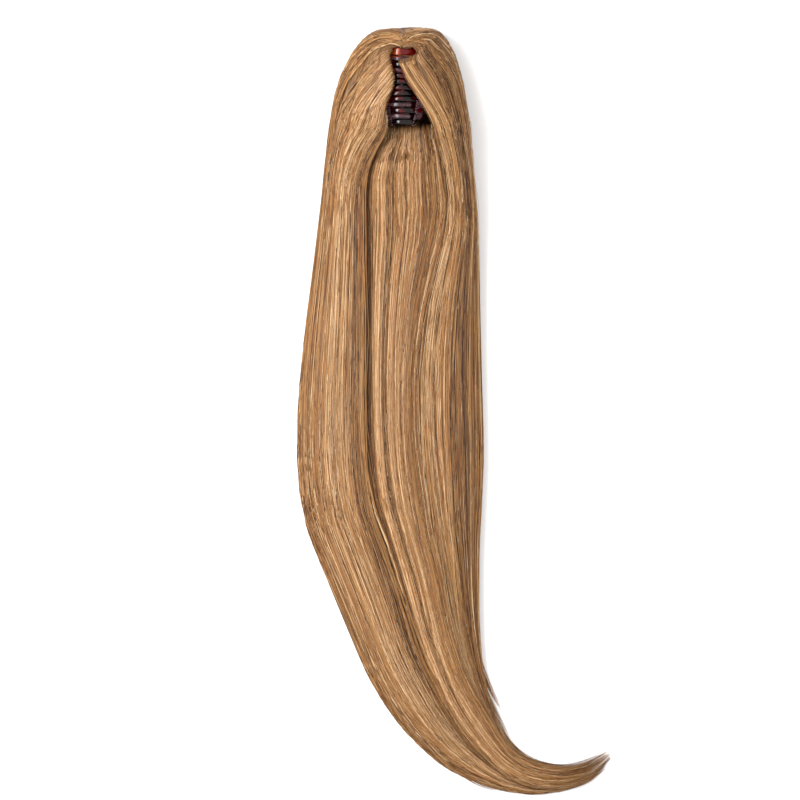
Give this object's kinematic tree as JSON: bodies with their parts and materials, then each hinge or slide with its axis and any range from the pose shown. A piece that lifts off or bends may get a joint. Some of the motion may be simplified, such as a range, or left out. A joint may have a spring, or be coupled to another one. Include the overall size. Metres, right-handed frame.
{
  "type": "claw clip ponytail hairpiece",
  "caption": "Long straight ponytail hairpiece on a sprung claw clip, lying with the clip's teeth up, the fall sweeping to one side.",
  "frame": {"origin": "on the hair's flat underside, straight under the middle of the clip's hinge", "axes": "+Y towards the crown, the fall along -Y and sweeping to +X, +Z out of the clip's mouth"},
  "size_m": [0.219, 0.5321, 0.0638],
  "materials": {
    "tortoiseshell": "polished red-amber tortoiseshell",
    "spring_steel": "bright wire",
    "weft": "sewn netted band",
    "hair": "straight blonde and copper fibre with a soft gloss"
  },
  "bodies": {
    "hairpiece": {"claw_left_jaw": "tortoiseshell", "hinge_pin": "spring_steel", "hinge_spring": "spring_steel", "weft_band": "weft", "hair_left": "hair", "hair_right": "hair", "hair_back": "hair"},
    "moving_jaw": {"claw_right_jaw": "tortoiseshell"}
  },
  "joints": [
    {"name": "jaw_hinge", "type": "hinge", "parent": "hairpiece", "child": "moving_jaw", "pos_m": [0, 0, 0.0215], "axis": [0, 1, 0], "range_deg": [0, 30], "stiffness_Nm_per_rad": 0.15, "springref_deg": -17.19, "deforming": ["hinge_spring"]}
  ]
}
